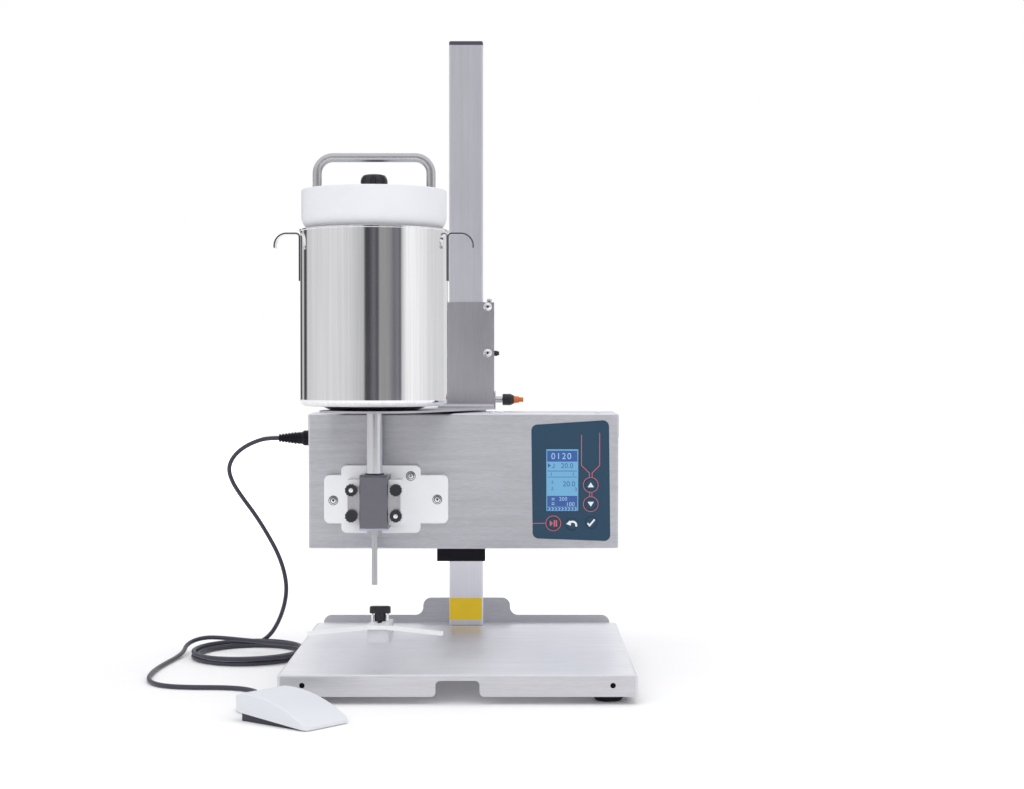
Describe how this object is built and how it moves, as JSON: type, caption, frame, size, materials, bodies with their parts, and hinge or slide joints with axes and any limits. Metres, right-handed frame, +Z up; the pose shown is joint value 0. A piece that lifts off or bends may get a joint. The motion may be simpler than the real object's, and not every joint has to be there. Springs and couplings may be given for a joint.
{
  "type": "cream filling machine",
  "caption": "tabletop cream filling machine: gear-pump filling head with pot and pusher sliding on a column, tray with V guide, foot pedal on a coiled cable",
  "frame": {"origin": "middle of the machine's outline, pedal included and cable left out, on the surface it stands on", "axes": "+X to the operator's right, +Y away from the operator, +Z up"},
  "size_m": [0.6523, 0.6737, 0.903],
  "materials": {
    "tray_steel": "brushed sheet",
    "column_steel": "brushed along the column",
    "head_steel": "brushed from side to side",
    "bracket_steel": "satin sheet",
    "pump_steel": "fine satin",
    "steel": "bright satin",
    "polished_steel": "mirror polish",
    "white_plastic": "smooth food-grade plastic",
    "black_plastic": "moulded, slightly satin",
    "pedal_shell": "moulded, satin",
    "orange_plastic": "moulded",
    "cable": "soft cable sheath",
    "panel": "printed film",
    "key_panel": "printed film with a raised key",
    "display_glass": "clear window over a lit display",
    "circuit_board": "green board",
    "motor_paint": "dark paint",
    "seal_rubber": "pale food-grade rubber",
    "foot_rubber": "black rubber"
  },
  "bodies": {
    "base": {"base_tray": "tray_steel", "foot_front_left": "foot_rubber", "foot_front_right": "foot_rubber", "foot_rear_left": "foot_rubber", "foot_rear_right": "foot_rubber", "column": "column_steel", "column_cap": "black_plastic", "guide_block": "white_plastic", "pedal_base": "black_plastic", "pedal_pin": "steel", "pedal_switch": "black_plastic", "foot_cable_drop": "cable", "foot_cable_coil": "cable", "foot_cable_lead": "cable"},
    "fence": {"guide_fence": "white_plastic"},
    "clamp": {"guide_knob": "black_plastic"},
    "tread": {"pedal_tread": "pedal_shell"},
    "rocker": {"mains_switch": "black_plastic"},
    "drive": {"drive_gear": "white_plastic"},
    "idler": {"idler_gear": "white_plastic"},
    "plunger": {"plunger_grip": "black_plastic", "plunger_ring": "orange_plastic"},
    "pot": {"pot": "polished_steel", "outlet_tube": "steel", "pot_handle_left": "polished_steel", "pot_handle_right": "polished_steel"},
    "pusher": {"pusher_disc": "white_plastic", "pusher_seal": "seal_rubber", "pusher_handle": "steel"},
    "vent": {"vent_knob": "black_plastic"},
    "key_up": {"key_up": "key_panel"},
    "key_down": {"key_down": "key_panel"},
    "key_start": {"key_start": "key_panel"},
    "key_back": {"key_back": "key_panel"},
    "key_confirm": {"key_confirm": "key_panel"},
    "knob_upper_left": {"thumb_knob_upper_left": "black_plastic"},
    "knob_upper_right": {"thumb_knob_upper_right": "black_plastic"},
    "knob_lower_left": {"thumb_knob_lower_left": "black_plastic"},
    "knob_lower_right": {"thumb_knob_lower_right": "black_plastic"},
    "head": {"cable_plug": "cable", "head_shell": "head_steel", "head_rear_cover": "head_steel", "lower_slide_block": "black_plastic", "upper_slide_block": "black_plastic", "foot_socket": "black_plastic", "mains_inlet": "black_plastic", "control_label": "panel", "display_window": "display_glass", "control_board": "circuit_board", "gearmotor": "motor_paint", "pump_back_plate": "white_plastic", "pump_flange": "steel", "pump_body": "pump_steel", "pump_cover": "pump_steel", "nozzle": "steel", "nozzle_nut": "steel", "hopper_bracket": "bracket_steel", "bracket_spacer": "steel", "plunger_sleeve": "steel"}
  },
  "joints": [
    {"name": "head_height", "type": "slide", "parent": "base", "child": "head", "axis": [0, 0, 1], "range_m": [-0.055, 0.3]},
    {"name": "pot_lift", "type": "slide", "parent": "head", "child": "pot", "axis": [0, 0, 1], "range_m": [0, 0.1]},
    {"name": "pusher_slide", "type": "slide", "parent": "pot", "child": "pusher", "axis": [0, 0, 1], "range_m": [-0.22, 0.08]},
    {"name": "vent_knob_turn", "type": "hinge", "parent": "pusher", "child": "vent", "pos_m": [-0.10307, 0.08585, 0.663], "axis": [0, 0, 1], "range_deg": [0, 360]},
    {"name": "plunger_pull", "type": "slide", "parent": "head", "child": "plunger", "axis": [1, 0, 0], "range_m": [0, 0.006], "stiffness_N_per_m": 600},
    {"name": "fence_slide", "type": "slide", "parent": "base", "child": "fence", "axis": [0, 1, 0], "range_m": [-0.02, 0.02]},
    {"name": "clamp_turn", "type": "hinge", "parent": "base", "child": "clamp", "pos_m": [-0.10107, 0.16785, 0.0612], "axis": [0, 0, 1], "range_deg": [0, 360]},
    {"name": "pedal_press", "type": "hinge", "parent": "base", "child": "tread", "pos_m": [-0.14511, -0.29713, 0.0072], "axis": [-0.6293, -0.7771, 0], "range_deg": [0, 3.5], "stiffness_Nm_per_rad": 20},
    {"name": "mains_rocker", "type": "hinge", "parent": "head", "child": "rocker", "pos_m": [-0.13207, 0.28435, 0.252], "axis": [-1, 0, 0], "range_deg": [0, 12]},
    {"name": "drive_gear_spin", "type": "hinge", "parent": "head", "child": "drive", "pos_m": [-0.0954, 0.10385, 0.2355], "axis": [0, 1, 0], "continuous": true},
    {"name": "idler_gear_spin", "type": "hinge", "parent": "head", "child": "idler", "pos_m": [-0.11075, 0.10385, 0.2355], "axis": [0, 1, 0], "continuous": true},
    {"name": "key_up_press", "type": "slide", "parent": "head", "child": "key_up", "axis": [0, 1, 0], "range_m": [0, 0.0005], "stiffness_N_per_m": 900},
    {"name": "key_down_press", "type": "slide", "parent": "head", "child": "key_down", "axis": [0, 1, 0], "range_m": [0, 0.0005], "stiffness_N_per_m": 900},
    {"name": "key_start_press", "type": "slide", "parent": "head", "child": "key_start", "axis": [0, 1, 0], "range_m": [0, 0.0005], "stiffness_N_per_m": 900},
    {"name": "key_back_press", "type": "slide", "parent": "head", "child": "key_back", "axis": [0, 1, 0], "range_m": [0, 0.0005], "stiffness_N_per_m": 900},
    {"name": "key_confirm_press", "type": "slide", "parent": "head", "child": "key_confirm", "axis": [0, 1, 0], "range_m": [0, 0.0005], "stiffness_N_per_m": 900},
    {"name": "thumb_knob_upper_left_turn", "type": "hinge", "parent": "head", "child": "knob_upper_left", "pos_m": [-0.13347, 0.07235, 0.25325], "axis": [0, -1, 0], "range_deg": [0, 360]},
    {"name": "thumb_knob_upper_right_turn", "type": "hinge", "parent": "head", "child": "knob_upper_right", "pos_m": [-0.07267, 0.07235, 0.25325], "axis": [0, -1, 0], "range_deg": [0, 360]},
    {"name": "thumb_knob_lower_left_turn", "type": "hinge", "parent": "head", "child": "knob_lower_left", "pos_m": [-0.13347, 0.07235, 0.21775], "axis": [0, -1, 0], "range_deg": [0, 360]},
    {"name": "thumb_knob_lower_right_turn", "type": "hinge", "parent": "head", "child": "knob_lower_right", "pos_m": [-0.07267, 0.07235, 0.21775], "axis": [0, -1, 0], "range_deg": [0, 360]}
  ],
  "couplings": [
    {"joint": "idler_gear_spin", "follows": "drive_gear_spin", "ratio": -1}
  ]
}
